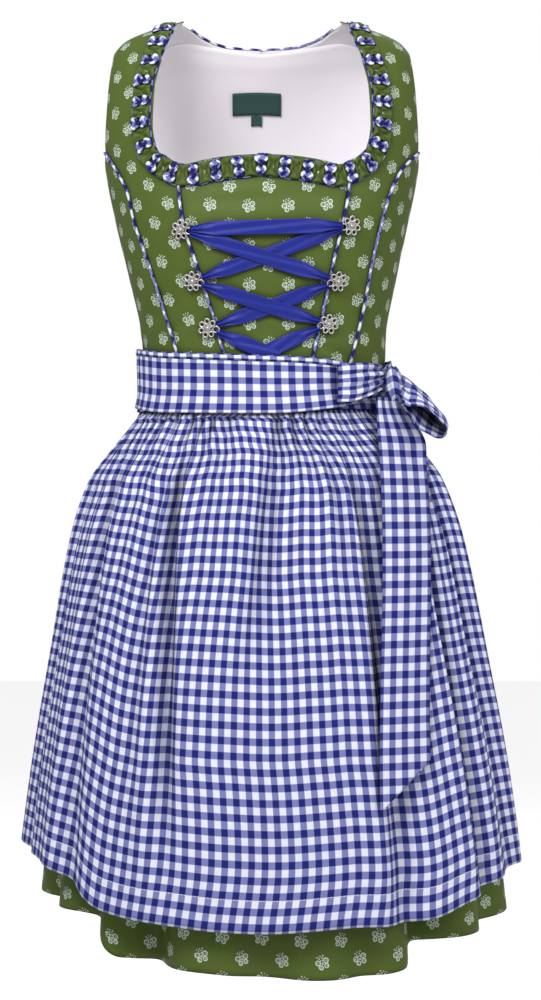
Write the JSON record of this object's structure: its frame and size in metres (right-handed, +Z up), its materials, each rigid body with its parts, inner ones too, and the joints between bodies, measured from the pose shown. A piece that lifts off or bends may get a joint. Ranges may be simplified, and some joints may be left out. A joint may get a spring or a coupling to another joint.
{
  "type": "dirndl dress with apron",
  "caption": "Worn knee-length dirndl dress: piped, laced bodice with wide straps, gathered skirt, check apron tied in a side bow.",
  "frame": {"origin": "midway between the tops of the shoulders, where the wearer holds the dress up", "axes": "+Z up, front faces -Y, +X to the right as seen from the front"},
  "size_m": [0.5428, 0.456, 1.006],
  "materials": {
    "green_print_cotton": "satin cotton, small pale flowers",
    "blue_check_cotton": "woven check",
    "check_piping": "bias-cut check over cord",
    "blue_satin_ribbon": "satin",
    "antique_silver": "cast, darkened in the hollows",
    "white_lining": "plain weave",
    "dark_green_label": "woven, bare"
  },
  "bodies": {
    "root": {"front_centre": "green_print_cotton", "front_left": "green_print_cotton", "front_right": "green_print_cotton", "side_left": "green_print_cotton", "side_right": "green_print_cotton", "back_left": "green_print_cotton", "back_right": "green_print_cotton", "neck_ruche": "green_print_cotton", "skirt_front": "green_print_cotton", "skirt_back": "green_print_cotton", "apron_panel": "blue_check_cotton", "apron_waistband": "blue_check_cotton", "apron_tie_wrap": "blue_check_cotton", "bow_knot": "blue_check_cotton", "bow_loop_inner": "blue_check_cotton", "bow_loop_outer": "blue_check_cotton", "bow_tail": "blue_check_cotton", "piping_inner_left": "check_piping", "piping_inner_right": "check_piping", "piping_outer_left": "check_piping", "piping_outer_right": "check_piping", "piping_back_neck": "check_piping", "lace_top": "blue_satin_ribbon", "lace_over_1": "blue_satin_ribbon", "lace_under_1": "blue_satin_ribbon", "lace_over_2": "blue_satin_ribbon", "lace_under_2": "blue_satin_ribbon", "lace_end_left": "blue_satin_ribbon", "lace_end_right": "blue_satin_ribbon", "hook_left_1": "antique_silver", "hook_left_2": "antique_silver", "hook_left_3": "antique_silver", "hook_right_1": "antique_silver", "hook_right_2": "antique_silver", "hook_right_3": "antique_silver", "lining_back": "white_lining", "label": "dark_green_label", "size_tab": "dark_green_label"}
  },
  "joints": []
}
